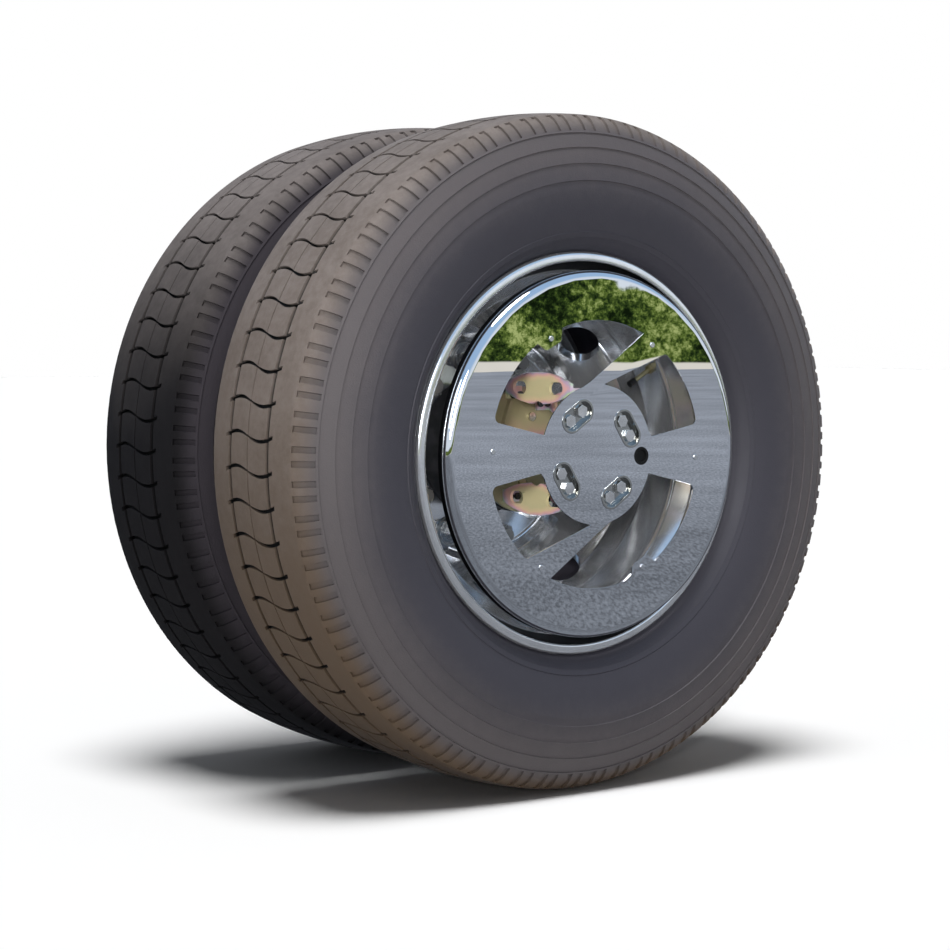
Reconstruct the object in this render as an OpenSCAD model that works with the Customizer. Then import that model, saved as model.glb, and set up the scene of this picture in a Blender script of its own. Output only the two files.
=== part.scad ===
// A dual pair of truck tyres and wheels on their hub, with a polished wheel simulator in the outer wheel.
// The axle line is the Y axis and the simulator faces -Y. The origin is on the axle line, in the plane
// where the discs of the two wheels meet. Modules draw along local +Z, and on_axle() turns that to -Y.

/* [Tyres] */
// Outer diameter of a tyre
tyre_od = 1011; // [980:1:1040]
// Width of a tyre at its widest
tyre_width = 290; // [275:1:305]
// Width of the running surface between its shoulders
tread_width = 190; // [170:1:210]
// Drop of the running surface from its middle to its shoulder
crown_drop = 5; // [2:0.5:12]
// Width of the two grooves that run round the tread
round_groove_w = 5; // [2:0.5:9]
// Distance of each of them from the middle of the tread
round_groove_at = 47; // [35:1:60]
// Depth of the grooves that run round the tread
round_groove_depth = 7; // [3:0.5:12]
// Width of the thin slit round the middle of the tread
slit_w = 2; // [1:0.5:4]
// Depth of that slit
slit_depth = 4; // [2:0.5:8]
// Radius at which the sidewall is widest
sidewall_r = 398; // [385:1:410]
// Rubber and cords under the middle of the tread
crown_wall = 27; // [22:1:34]
// Wall at the widest point
side_wall = 13; // [9:1:18]
// Width of the bead where it sits on the rim
bead_w = 33; // [24:1:38]

/* [Wheels] */
// Diameter of the rim where the bead sits
bead_seat_d = 571.5; // [571.5]
// Width between the rim flanges
rim_width = 209.6; // [205:0.1:215]
// Height and width of a rim flange
flange_size = 12.7; // [11:0.1:14]
// Distance from the mounting face of a wheel to the middle of its rim
wheel_offset = 166; // [160:1:172]
// Thickness of the disc where it is clamped
disc_t = 22; // [18:1:26]
// Bore that centres the wheel on the hub
centre_bore_d = 220.1; // [219.5:0.1:221]
// Diameter of the wheel stud circle
stud_pcd = 285.75; // [285.75]
// Number of wheel studs
stud_count = 10; // [8:1:10]
// Diameter of the stud holes
stud_hole_d = 26.75; // [24:0.05:28]
// Number of hand holes
hand_holes = 10; // [8:1:10]
// Diameter of a hand hole
hand_hole_d = 68; // [50:1:70]
// Turn of the hand holes from the horizontal
wheel_turn = 12; // [0:1:35]
// Radius inside the well of the rim
well_r = 244; // [240:1:246]

/* [Hub] */
// Diameter of the hub's barrel behind its flange
hub_barrel_d = 200; // [190:1:206]
// Distance from the joint of the discs to the hub's nose
hub_nose = 130; // [120:1:135]
// Distance from the joint of the discs to the hub's back end
hub_tail = 112; // [100:1:125]
// Diameter of the hub's flange
hub_flange_d = 338; // [330:1:345]
// Thickness of the hub's flange
hub_flange_t = 18; // [14:1:24]
// Bore of the hub between its bearings
hub_bore_d = 100; // [92:1:104]
// Outer diameter of the outer bearing cup
outer_cup_d = 130; // [126:1:134]
// Outer diameter of the inner bearing cup
inner_cup_d = 148; // [142:1:152]
// Width of a bearing cup
cup_w = 28; // [22:1:32]
// Diameter of a wheel stud
stud_d = 22; // [20:0.5:24]
// Width of a wheel nut across its flats
nut_af = 33; // [30:1:34]
// Thickness of a wheel nut
nut_h = 24; // [20:1:28]
// Diameter of the washer under a wheel nut
washer_d = 46; // [40:1:48]

/* [Simulator bracket] */
// Thickness of the hub cap
cap_t = 8; // [6:0.5:14]
// Thickness of the cap gasket
gasket_t = 1; // [0.5:0.5:2]
// Diameter of the base plate and of the hub's nose
base_d = 192; // [188:1:196]
// Thickness of the base plate
base_t = 5; // [3:0.5:8]
// Circle of the bolts through the base plate
base_bolt_pcd = 154; // [152:1:164]
// Number of those bolts
base_bolts = 6; // [4:1:8]
// Thickness of the arms
arm_t = 5; // [3:0.5:7]
// Height of an arm at its middle
arm_h = 48; // [40:1:54]
// Length of the slots in an arm
arm_slot_l = 32; // [20:1:34]
// Width of the slots in an arm
arm_slot_w = 19; // [12:1:20]
// Distance between the two slots of an arm
arm_slot_gap = 88; // [76:1:92]
// Distance from an arm's middle to the bottom of its scallop
scallop_at = 19.5; // [14:0.5:22]
// Width of the tabs at an arm's ends
arm_tab = 28; // [26:1:28]
// Height of those tabs
arm_tab_h = 19; // [16:1:20]
// Diameter of the screws through the arm tabs
arm_screw_d = 6; // [5:0.5:6]
// Thickness of the front plate behind the cover
front_t = 4; // [3:0.5:6]
// Diameter of the front plate
front_d = 190; // [186:1:196]

/* [Simulator cover] */
// Diameter of the cover
cover_d = 540; // [530:1:548]
// Distance from the joint of the discs to the face of the cover
cover_face = 316; // [312:1:320]
// Depth of the cover's skirt behind its face
cover_depth = 23; // [18:1:26]
// Radius of the rolled edge
cover_roll = 12; // [8:0.5:15]
// Thickness of the cover sheet
cover_t = 2; // [1:0.5:3]
// Radius at the outer end of the cut-outs
cut_outer_r = 197; // [185:1:205]
// Radius of the disc in the middle of the cover
cut_inner_r = 103; // [100:1:108]
// Turn of the rivets and windows from the horizontal
pattern_turn = -3; // [-10:1:10]
// Radius of the rivet circle
rivet_r = 191; // [180:1:194]
// Radius of the circle of window cups
window_r = 68; // [64:0.5:70]
// Length of a window cup
window_l = 58; // [50:1:62]
// Width of a window cup
window_w = 32; // [28:1:36]
// Diameter of the access hole
plug_d = 24; // [18:1:26]
// Radius at which the access hole sits
plug_r = 84; // [80:0.5:88]

/* [Fits] */
// Gap all round between a bored part and what sits in it
fit_gap = 0.1; // [0.05:0.05:0.3]
// Gap all round between a bead and its seat
bead_gap = 0.2; // [0.1:0.05:0.4]
// Gap between a bolt's shank and its hole
bolt_gap = 0.5; // [0.2:0.1:1]

/* [Hidden] */
$fn = 96;

tyre_r = tyre_od / 2;
tread_half = tread_width / 2;
shoulder_r = tyre_r - crown_drop;
bead_r = bead_seat_d / 2;
rim_half = rim_width / 2;
seat_taper = tan(15);
flange_round = flange_size / 2;
flange_r = bead_r + flange_size;

cap_z = hub_nose + gasket_t;
base_z = cap_z + cap_t;
arm_z = base_z + base_t;
cup_depth = 8;
cup_wall = 1.5;
front_z = cover_face - cup_depth - cup_wall - front_t;
arm_len = front_z - arm_z;
bolt_head_h = 6;
cover_r = cover_d / 2;

function arc(c, r, a0, a1, n = 6) =
    [for (i = [0:n]) let (a = a0 + (a1 - a0) * i / n) c + r * [cos(a), sin(a)]];
function polar(r, a) = r * [cos(a), sin(a)];
function unit(v) = v / norm(v);

// The points that round the corner b of the path a, b, c to a radius r
function rounded(a, b, c, r, n = 5) =
    let (u = unit(a - b), v = unit(c - b), half = acos(u * v) / 2, m = b + unit(u + v) * r / sin(half),
         p = b + u * r / tan(half) - m, q = b + v * r / tan(half) - m,
         start = atan2(p[1], p[0]), turn = atan2(p[0] * q[1] - p[1] * q[0], p * q))
    arc(m, r, start, start + turn, n);

// Draws what follows along the axle, with local +Z pointing outboard
module on_axle() rotate([90, 0, 0]) children();

// Repeats what follows n times round the axle, the first one at angle a0
module around(n, a0 = 0) for (i = [0:n - 1]) rotate([0, 0, a0 + i * 360 / n]) children();

// Half-width of the sidewall at radius r, from the widest point up to the shoulder or down to the bead
function upper_side(r, half, r_mid, r_top, z_top) =
    z_top + (half - z_top) * sqrt(max(0, 1 - pow((r - r_mid) / (r_top - r_mid), 2)));
cushion_r = flange_r + 2;
cushion_z = rim_half + 7;
function lower_side(r, half, r_mid) =
    cushion_z + (half - cushion_z) * sqrt(max(0, 1 - pow((r_mid - r) / (r_mid - cushion_r), 2)));
function side_z(r) = r >= sidewall_r
    ? upper_side(r, tyre_width / 2, sidewall_r, shoulder_r, tread_half)
    : lower_side(r, tyre_width / 2, sidewall_r);

// Radius at a share of the sidewall's height, above and below its widest point
function upper_r(share) = sidewall_r + share * (shoulder_r - sidewall_r);
function lower_r(share) = cushion_r + share * (sidewall_r - cushion_r);

// Raised rings on the sidewall: outer radius, inner radius and height of each
side_rings = [[upper_r(0.74), upper_r(0.66), 1.6], [upper_r(0.6), upper_r(0.52), 1.6],
    [upper_r(0.46), upper_r(0.41), 1.4], [lower_r(0.26), lower_r(0.18), 1.6]];
function ring_points(ring) = let (edge = (ring[0] - ring[1]) / 8)
    [[ring[0], side_z(ring[0])], [ring[0] - edge, side_z(ring[0] - edge) + ring[2]],
     [ring[1] + edge, side_z(ring[1] + edge) + ring[2]], [ring[1], side_z(ring[1])]];

// Half of a tyre's section from the middle of the tread, over the sidewall and bead, to the middle inside
liner_r = tyre_r - crown_wall;
liner_half = tyre_width / 2 - side_wall;
toe_r = bead_r + bead_gap - bead_w * seat_taper;
liner_low_r = toe_r + 53;
function liner_point_r(share) = liner_low_r + share * (liner_r - liner_low_r);
tyre_half_section = concat(
    [for (i = [0:4]) let (z = tread_half * i / 4) [tyre_r - crown_drop * pow(z / tread_half, 2), z]],
    [for (share = [0.99, 0.95, 0.89, 0.82]) [upper_r(share), side_z(upper_r(share))]],
    ring_points(side_rings[0]), ring_points(side_rings[1]), ring_points(side_rings[2]),
    [for (share = [0.3, 0.15, 0]) [upper_r(share), side_z(upper_r(share))]],
    [for (share = [0.86, 0.72, 0.58, 0.44]) [lower_r(share), side_z(lower_r(share))]],
    ring_points(side_rings[3]),
    [for (share = [0.12, 0.06, 0.02, 0]) [lower_r(share), side_z(lower_r(share))]],
    [[bead_r + flange_size * 0.55, rim_half - bead_gap], [bead_r + bead_gap + 2, rim_half - bead_gap],
     [bead_r + bead_gap - 0.5, rim_half - bead_gap - 2],
     [toe_r, rim_half - bead_w],
     [toe_r + 4, rim_half - bead_w - 4]],
    [[toe_r + 29, rim_half - 18], [liner_low_r, rim_half + 14]],
    [for (share = [0.2, 0.37, 0.54, 0.71, 0.84, 0.93]) let (r = liner_point_r(share))
        [r, upper_side(r, liner_half, liner_point_r(0.44), liner_r + 1, tread_half - 12)]],
    [[liner_r - 2, tread_half - 20], [liner_r, 0]]);
tyre_last = len(tyre_half_section) - 1;
tyre_section = concat(tyre_half_section,
    [for (i = [tyre_last - 1:-1:1]) [tyre_half_section[i][0], -tyre_half_section[i][1]]]);

module round_groove(at, w, depth) {
    translate([0, 0, at - w / 2])
        difference() {
            cylinder(r = tyre_r + 2, h = w);
            translate([0, 0, -1]) cylinder(r = tyre_r - depth, h = w + 2);
        }
}

module tyre() {
    difference() {
        rotate_extrude() polygon(tyre_section);
        round_groove(round_groove_at, round_groove_w, round_groove_depth);
        round_groove(-round_groove_at, round_groove_w, round_groove_depth);
        round_groove(0, slit_w, slit_depth);
    }
}

module outer_tyre() color([0.25, 0.23, 0.23]) on_axle() translate([0, 0, wheel_offset]) tyre();
module inner_tyre() color([0.22, 0.2, 0.21]) on_axle() translate([0, 0, -wheel_offset]) tyre();

// Section of a wheel as radius and distance from the mounting face, going round the metal
open_edge = wheel_offset + rim_half + flange_size;
closed_edge = wheel_offset - rim_half - flange_size;
seat_drop = 36;
// The dish slopes outwards from the clamped face, and the hand holes are cut square to it
hand_hole_at = [216, 87];
dish_slope = 56;
dish_t = 17;
seat_low_r = bead_r - seat_drop * seat_taper;
well_wall = 8;
wheel_section = concat(
    [[bead_r - 8, open_edge - 16]],
    rounded([bead_r - 8, open_edge - 16], [bead_r - 2, open_edge], [flange_r, open_edge], 4),
    arc([flange_r - flange_round, open_edge - flange_round], flange_round, 90, -90, 10),
    [[bead_r + 1.5, open_edge - flange_size], [bead_r, open_edge - flange_size - 2],
     [seat_low_r, open_edge - flange_size - seat_drop],
     [well_r + well_wall, wheel_offset + 40], [well_r + well_wall, wheel_offset - 40],
     [seat_low_r, closed_edge + flange_size + seat_drop], [bead_r, closed_edge + flange_size + 2],
     [bead_r + 1.5, closed_edge + flange_size]],
    arc([flange_r - flange_round, closed_edge + flange_round], flange_round, 90, -90, 10),
    [[bead_r, closed_edge], [bead_r - 9, closed_edge + 14], [bead_r - 18, closed_edge + 44],
     [well_r + 6, closed_edge + 56], [well_r - 1, closed_edge + 54.5], [well_r - 9, 86], [well_r - 30, 52],
     [201, 30], [192, 12], [180, 0], [centre_bore_d / 2, 0], [centre_bore_d / 2, disc_t]],
    [[164, disc_t], [172, disc_t + 3], [180, disc_t + 12]],
    [for (t = [-25, 29]) hand_hole_at + t * [cos(dish_slope), sin(dish_slope)]],
    [[well_r - 6, 121], [well_r - 1, 132], [well_r, 144], [well_r, wheel_offset + 42],
     [seat_low_r - 8, open_edge - 52]]);

module hand_hole() {
    translate([hand_hole_at[0], 0, hand_hole_at[1]])
        rotate([0, -dish_slope, 0]) translate([0, 0, -dish_t - 1]) cylinder(d = hand_hole_d, h = 60);
}

module wheel() {
    difference() {
        rotate_extrude() polygon(wheel_section);
        around(stud_count, stud_turn) translate([stud_pcd / 2, 0, -1])
            cylinder(d = stud_hole_d, h = disc_t + 2);
        around(hand_holes, wheel_turn) hand_hole();
        rotate([0, 0, valve_angle]) valve_hole();
    }
}

// Each stud lies between two hand holes
stud_turn = wheel_turn + 180 / stud_count;

// The valve passes through the sloping side of the rim's well, between two hand holes
valve_angle = wheel_turn + 180 / hand_holes;
valve_hole_d = 9.7;
valve_at = [well_r + 2, wheel_offset + 20];
valve_len = 46;
module on_valve() translate([valve_at[0], 0, valve_at[1]]) rotate([0, -90, 0]) children();
module valve_hole() on_valve() translate([0, 0, -20]) cylinder(d = valve_hole_d, h = 40);

module valve_stem() {
    on_valve() {
        translate([0, 0, -well_wall - 4]) cylinder(d = 18, h = 6 - fit_gap);
        translate([0, 0, -well_wall - 4]) cylinder(d = valve_hole_d - 2 * fit_gap, h = well_wall + 14);
        translate([0, 0, 2 + fit_gap]) cylinder(d = 15, h = 6, $fn = 6);
        translate([0, 0, 8]) cylinder(d = 7.7, h = valve_len - 8);
    }
}
module valve_cap() {
    on_valve() difference() {
        translate([0, 0, valve_len - 7]) cylinder(d = 10.5, h = 12);
        translate([0, 0, valve_len - 8]) cylinder(d = 7.7 + 2 * fit_gap, h = 8 + fit_gap);
    }
}

// The inner wheel is the same wheel turned round, so that the two discs meet back to back
module inboard() mirror([0, 0, 1]) children();

module outer_wheel() color([0.82, 0.83, 0.85]) on_axle() wheel();
module inner_wheel() color([0.78, 0.79, 0.8]) on_axle() inboard() wheel();
module outer_valve_stem() color([0.75, 0.68, 0.45]) on_axle() rotate([0, 0, valve_angle]) valve_stem();
module inner_valve_stem() color([0.75, 0.68, 0.45])
    on_axle() inboard() rotate([0, 0, valve_angle]) valve_stem();
module valve_caps() color([0.12, 0.12, 0.12]) on_axle() {
    rotate([0, 0, valve_angle]) valve_cap();
    inboard() rotate([0, 0, valve_angle]) valve_cap();
}

// The hub carries both wheels on one pilot, behind its flange
pilot_r = centre_bore_d / 2 - fit_gap;
seal_d = inner_cup_d + 14;
seal_w = 12;
hub_section = [
    [outer_cup_d / 2, hub_nose], [base_d / 2, hub_nose], [base_d / 2, hub_nose - 14], [86, hub_nose - 26],
    [92, 40], [pilot_r, disc_t + 3], [pilot_r, -disc_t], [hub_flange_d / 2, -disc_t],
    [hub_flange_d / 2, -disc_t - hub_flange_t], [hub_barrel_d / 2 + 14, -disc_t - hub_flange_t],
    [hub_barrel_d / 2, -disc_t - hub_flange_t - 14], [hub_barrel_d / 2, -hub_tail],
    [seal_d / 2, -hub_tail], [seal_d / 2, seal_w - hub_tail],
    [inner_cup_d / 2, seal_w - hub_tail], [inner_cup_d / 2, seal_w + cup_w - hub_tail],
    [hub_bore_d / 2, seal_w + cup_w - hub_tail], [hub_bore_d / 2, hub_nose - cup_w - 10],
    [outer_cup_d / 2, hub_nose - cup_w - 10]];

module wheel_hub() color([0.3, 0.3, 0.32]) on_axle() {
    difference() {
        rotate_extrude() polygon(hub_section);
        around(stud_count, stud_turn) translate([stud_pcd / 2, 0, -disc_t - hub_flange_t - 1])
            cylinder(d = stud_d + 2 * fit_gap, h = hub_flange_t + 2);
        around(base_bolts, 90) translate([base_bolt_pcd / 2, 0, hub_nose - base_bolt_in - 2])
            cylinder(d = base_bolt_d + 2 * fit_gap, h = base_bolt_in + 4);
    }
}

// A bearing cup is a ring with a tapered race inside
module bearing_cup(d, race_wide, race_narrow) {
    rotate_extrude() polygon([[race_narrow / 2, 0], [d / 2 - fit_gap, 0], [d / 2 - fit_gap, cup_w],
        [race_wide / 2, cup_w]]);
}
module outer_bearing_cup() color([0.7, 0.7, 0.72]) on_axle()
    translate([0, 0, hub_nose - cup_w - 10]) bearing_cup(outer_cup_d, outer_cup_d - 8, outer_cup_d - 20);
module inner_bearing_cup() color([0.7, 0.7, 0.72]) on_axle()
    translate([0, 0, seal_w + cup_w - hub_tail]) inboard()
        bearing_cup(inner_cup_d, inner_cup_d - 10, inner_cup_d - 26);
module hub_seal() color([0.35, 0.2, 0.15]) on_axle()
    translate([0, 0, -hub_tail]) rotate_extrude() polygon([[seal_d / 2 - 18, 0], [seal_d / 2 - fit_gap, 0],
        [seal_d / 2 - fit_gap, seal_w], [seal_d / 2 - 5, seal_w], [seal_d / 2 - 5, 4], [seal_d / 2 - 18, 4]]);

stud_end = disc_t + nut_h + 14;
washer_t = 4;
module wheel_studs() color([0.45, 0.45, 0.46]) on_axle()
    around(stud_count, stud_turn) translate([stud_pcd / 2, 0, 0]) {
        translate([0, 0, -disc_t - hub_flange_t - 8]) cylinder(d = stud_d + 10, h = 8);
        translate([0, 0, -disc_t - hub_flange_t - 1])
            cylinder(d = stud_d, h = stud_end + disc_t + hub_flange_t + 1);
    }
module nut_washers() color([0.6, 0.6, 0.6]) on_axle()
    around(stud_count, stud_turn) translate([stud_pcd / 2, 0, disc_t]) difference() {
        cylinder(d = washer_d, h = washer_t);
        translate([0, 0, -1]) cylinder(d = stud_d + 2 * bolt_gap, h = washer_t + 2);
    }
module wheel_nuts() color([0.6, 0.6, 0.6]) on_axle()
    around(stud_count, stud_turn) translate([stud_pcd / 2, 0, disc_t + washer_t]) difference() {
        union() {
            cylinder(d = nut_af / cos(30), h = nut_h, $fn = 6);
            cylinder(d = washer_d - 4, h = 5);
        }
        translate([0, 0, -1]) cylinder(d = stud_d + 2 * fit_gap, h = nut_h + 2);
    }

base_bolt_d = 10;
base_bolt_in = 20;
base_bolt_af = 15;
base_hole_d = 40;
front_hole_d = 60;
module bolt_circle(d, h)
    around(base_bolts, 90) translate([base_bolt_pcd / 2, 0, -1]) cylinder(d = d, h = h + 2);

module cap_gasket() color([0.2, 0.3, 0.25]) on_axle() translate([0, 0, hub_nose]) difference() {
    cylinder(d = base_d - 4, h = gasket_t);
    translate([0, 0, -1]) cylinder(d = outer_cup_d + 4, h = gasket_t + 2);
    bolt_circle(base_bolt_d + 2 * bolt_gap, gasket_t);
}
module hub_cap() color([0.62, 0.63, 0.64]) on_axle() difference() {
    union() {
        translate([0, 0, cap_z]) cylinder(d = base_d - 4, h = cap_t);
        translate([0, 0, hub_nose - 6]) cylinder(d = outer_cup_d - 2 * fit_gap, h = 8);
    }
    translate([0, 0, hub_nose - 7]) cylinder(d = outer_cup_d - 14, h = 11);
    translate([0, 0, cap_z]) bolt_circle(base_bolt_d + 2 * bolt_gap, cap_t);
    translate([0, 0, cap_z - 3]) cap_screw_places() cylinder(d = cap_screw_d + 2 * fit_gap, h = cap_t + 4);
}

// The four arms: place of the web across the axle, height of the tabs and of their screws, and the side
// to which the tabs point
arms = [[-40, 96, 88, 84, 1], [-45, -69, -69, -70, 1], [45, 69, 69, 70, -1], [45, -69, -74, -77, -1]];
arm_screw_gap = 13;
module arm_screw_places(which = [0:3])
    for (i = which, side = [-0.5, 0.5])
        translate([arms[i][0] + arms[i][4] * (arm_t + arm_tab) / 2 + side * arm_screw_gap, arms[i][3], 0])
            children();

// A straight rib stiffens the base plate beside the upper left arm
rib_from = [-33.5, 75];
rib_to = [-46, 40];
rib_w = 6;
rib_h = 9;
module base_rib()
    translate([rib_to[0], rib_to[1], base_t - 1])
        rotate([0, 0, atan2(rib_from[1] - rib_to[1], rib_from[0] - rib_to[0])])
            translate([0, -rib_w / 2, 0]) cube([norm(rib_from - rib_to), rib_w, rib_h + 1]);
// Small screws that hold the base plate to the cap between its bolts
cap_screw_at = [9, 50];
cap_screw_d = 8;
module cap_screw_places()
    for (way = [1, -1]) translate([way * cap_screw_at[0], way * cap_screw_at[1], 0]) children();

module base_plate() color([0.72, 0.62, 0.3]) on_axle() translate([0, 0, base_z]) difference() {
    union() {
        cylinder(d = base_d, h = base_t);
        base_rib();
    }
    translate([0, 0, -1]) cylinder(d = base_hole_d, h = base_t + 2);
    bolt_circle(base_bolt_d + 2 * bolt_gap, base_t);
    translate([0, 0, -1]) arm_screw_places() cylinder(d = arm_screw_d + 2 * fit_gap, h = base_t + 2);
    translate([0, 0, -1]) cap_screw_places() cylinder(d = cap_screw_d + 2 * fit_gap, h = base_t + 2);
}
module base_bolts() color([0.75, 0.7, 0.5]) on_axle() {
    around(base_bolts, 90) translate([base_bolt_pcd / 2, 0, 0]) {
        translate([0, 0, hub_nose - base_bolt_in])
            cylinder(d = base_bolt_d, h = arm_z - hub_nose + base_bolt_in + 1);
        translate([0, 0, arm_z]) cylinder(d = base_bolt_af / cos(30), h = bolt_head_h, $fn = 6);
    }
    cap_screw_places() {
        translate([0, 0, cap_z + 1]) cylinder(d = cap_screw_d, h = cap_t + base_t);
        translate([0, 0, arm_z]) cylinder(d = cap_screw_d + 6, h = 4);
    }
}

// An arm is a leaf-shaped web with a tab turned at each end
leaf_r = 200;
scallop_r = 24;
module arm(i) {
    x = arms[i][0];
    z = arms[i][1];
    way = arms[i][4];
    side_drop = leaf_r - arm_h / 2;
    translate([x - (way > 0 ? 0 : arm_t), z, arm_z + arm_len / 2]) rotate([0, 90, 0]) difference() {
        intersection() {
            translate([0, -side_drop, 0]) cylinder(r = leaf_r, h = arm_t);
            translate([0, side_drop, 0]) cylinder(r = leaf_r, h = arm_t);
            translate([-arm_len / 2, -arm_h, -1]) cube([arm_len, 2 * arm_h, arm_t + 2]);
        }
        translate([0, -sign(z) * (scallop_at + scallop_r), -1]) cylinder(r = scallop_r, h = arm_t + 2);
        for (s = [-1, 1]) translate([s * arm_slot_gap / 2, 0, -1]) obround(arm_slot_l, arm_slot_w, arm_t + 2);
    }
    for (end = [arm_z, front_z - arm_t]) difference() {
        translate([x - (way > 0 ? 0 : arm_tab), arms[i][2] - arm_tab_h / 2, end])
            cube([arm_tab, arm_tab_h, arm_t]);
        translate([0, 0, end - 1]) arm_screw_places([i])
            cylinder(d = arm_screw_d + 2 * fit_gap, h = arm_t + 2);
    }
}
module obround(l, w, h) {
    translate([-(l - w) / 2, 0, 0]) cylinder(d = w, h = h);
    translate([(l - w) / 2, 0, 0]) cylinder(d = w, h = h);
    translate([-(l - w) / 2, -w / 2, 0]) cube([l - w, w, h]);
}
module zinc() color([0.78, 0.66, 0.32]) children();
module upper_left_arm() zinc() on_axle() arm(0);
module lower_left_arm() zinc() on_axle() arm(1);
module upper_right_arm() zinc() on_axle() arm(2);
module lower_right_arm() zinc() on_axle() arm(3);

// Screws hold the arm tabs to the base plate and the front plate, each with its head on the tab
arm_screw_head = [11, 4];
module arm_screws() color([0.7, 0.7, 0.68]) on_axle() arm_screw_places() {
    translate([0, 0, base_z + 1]) cylinder(d = arm_screw_d, h = base_t + arm_t);
    translate([0, 0, arm_z + arm_t]) cylinder(d = arm_screw_head[0], h = arm_screw_head[1]);
    translate([0, 0, front_z - arm_t - 1]) cylinder(d = arm_screw_d, h = front_t + arm_t);
    translate([0, 0, front_z - arm_t - arm_screw_head[1]])
        cylinder(d = arm_screw_head[0], h = arm_screw_head[1]);
}

module window_places() around(4, pattern_turn + 36) translate([window_r, 0, 0]) rotate([0, 0, 90]) children();
bolt_spread = window_l - window_w;
cover_bolt_d = 10;
module cover_bolt_places()
    window_places() for (s = [-1, 1]) translate([s * bolt_spread / 2, 0, 0]) children();

module front_plate() color([0.72, 0.62, 0.3]) on_axle() translate([0, 0, front_z]) difference() {
    cylinder(d = front_d, h = front_t);
    translate([0, 0, -1]) cylinder(d = front_hole_d, h = front_t + 2);
    cover_bolt_places() translate([0, 0, -1]) cylinder(d = cover_bolt_d + 2 * fit_gap, h = front_t + 2);
    translate([0, 0, -1]) arm_screw_places() cylinder(d = arm_screw_d + 2 * fit_gap, h = front_t + 2);
    rotate([0, 0, pattern_turn]) translate([plug_r, 0, -1]) cylinder(d = plug_d + 8, h = front_t + 2);
}

// A window cup is a pressed obround cup whose floor is bolted to the front plate
cup_lip = 2;
module window_cups() color([0.85, 0.85, 0.86]) on_axle() window_places() difference() {
    union() {
        translate([0, 0, front_z + front_t]) obround(window_l, window_w, cup_depth + cup_wall);
        translate([0, 0, cover_face]) obround(window_l + 2 * cup_lip, window_w + 2 * cup_lip, 1);
    }
    translate([0, 0, front_z + front_t + cup_wall])
        obround(window_l - 2 * cup_wall, window_w - 2 * cup_wall, cup_depth + 5);
    for (s = [-1, 1]) translate([s * bolt_spread / 2, 0, front_z])
        cylinder(d = cover_bolt_d + 2 * fit_gap, h = 12);
}
module cover_bolts() color([0.85, 0.85, 0.86]) on_axle() cover_bolt_places() {
    translate([0, 0, front_z]) cylinder(d = cover_bolt_d, h = front_t + cup_wall + 1);
    translate([0, 0, front_z + front_t + cup_wall]) cylinder(d = 17 / cos(30), h = bolt_head_h, $fn = 6);
}

// The cover is one dished sheet: a flat face, a rolled edge and a skirt with a small hem
cover_section = concat(
    [[0, cover_face]],
    arc([cover_r - cover_roll, cover_face - cover_roll], cover_roll, 90, 0, 8),
    [[cover_r, cover_face - cover_depth], [cover_r - 5, cover_face - cover_depth],
     [cover_r - 5, cover_face - cover_depth + cover_t], [cover_r - cover_t, cover_face - cover_depth + cover_t]],
    arc([cover_r - cover_roll, cover_face - cover_roll], cover_roll - cover_t, 0, 90, 8),
    [[0, cover_face - cover_t]]);

// Two shapes of cut-out, each made twice, with straight sides between an inner and an outer arc
corner_r = 9;
cut_a_inner = polar(cut_inner_r, 162.5);
cut_a_outer = polar(cut_outer_r, 164.5);
cut_a_tip = polar(cut_outer_r, 64);
cut_a_root = polar(cut_inner_r + 5, 97);
cut_b_inner = polar(cut_inner_r + 1, 83);
cut_b_outer = polar(cut_outer_r, 48.2);
cut_b_low = polar(cut_outer_r, 12);
cut_b_root = polar(cut_inner_r + 4, 13);
tab_angle = 117;
tab_half = 6.4;
tab_r = 178;
cut_a = concat(
    [cut_a_inner], rounded(cut_a_inner, cut_a_outer, polar(cut_outer_r, 155), corner_r),
    arc([0, 0], cut_outer_r, 156, tab_angle + tab_half + 1, 10),
    rounded(polar(cut_outer_r, tab_angle + tab_half), polar(tab_r + 2, tab_angle + tab_half - 1),
        polar(tab_r, tab_angle), 8, 4),
    rounded(polar(tab_r, tab_angle), polar(tab_r + 2, tab_angle - tab_half + 1),
        polar(cut_outer_r, tab_angle - tab_half), 8, 4),
    arc([0, 0], cut_outer_r, tab_angle - tab_half - 1, 64, 14),
    [cut_a_root], arc([0, 0], cut_inner_r, 106, 161, 14));
cut_b = concat(
    [cut_b_inner], rounded(cut_b_inner, cut_b_outer, polar(cut_outer_r, 42), corner_r),
    arc([0, 0], cut_outer_r, 43, 16, 9),
    rounded(polar(cut_outer_r, 16), cut_b_low, cut_b_root, corner_r),
    [cut_b_root], arc([0, 0], cut_inner_r, 18, 80, 14));

module cover_plate() color([0.66, 0.69, 0.72]) on_axle() difference() {
    rotate_extrude($fn = 180) polygon(cover_section);
    for (turn = [0, 180]) rotate([0, 0, turn]) translate([0, 0, cover_face - 10]) {
        linear_extrude(height = 20) polygon(cut_a);
        linear_extrude(height = 20) polygon(cut_b);
    }
    window_places() translate([0, 0, cover_face - 10])
        obround(window_l + 2 * fit_gap, window_w + 2 * fit_gap, 20);
    rotate([0, 0, pattern_turn]) translate([plug_r, 0, cover_face - 10]) cylinder(d = plug_d, h = 20);
    around(6, pattern_turn) translate([rivet_r, 0, cover_face - 10]) cylinder(d = 4 + 2 * fit_gap, h = 20);
}
module cover_rivets() color([0.8, 0.8, 0.82]) on_axle() around(6, pattern_turn) translate([rivet_r, 0, 0]) {
    translate([0, 0, cover_face - cover_t - 1.5]) cylinder(d = 4, h = cover_t + 2);
    translate([0, 0, cover_face]) cylinder(d = 8, h = 1.2);
    translate([0, 0, cover_face - cover_t - 2]) cylinder(d = 7, h = 2);
}
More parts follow.
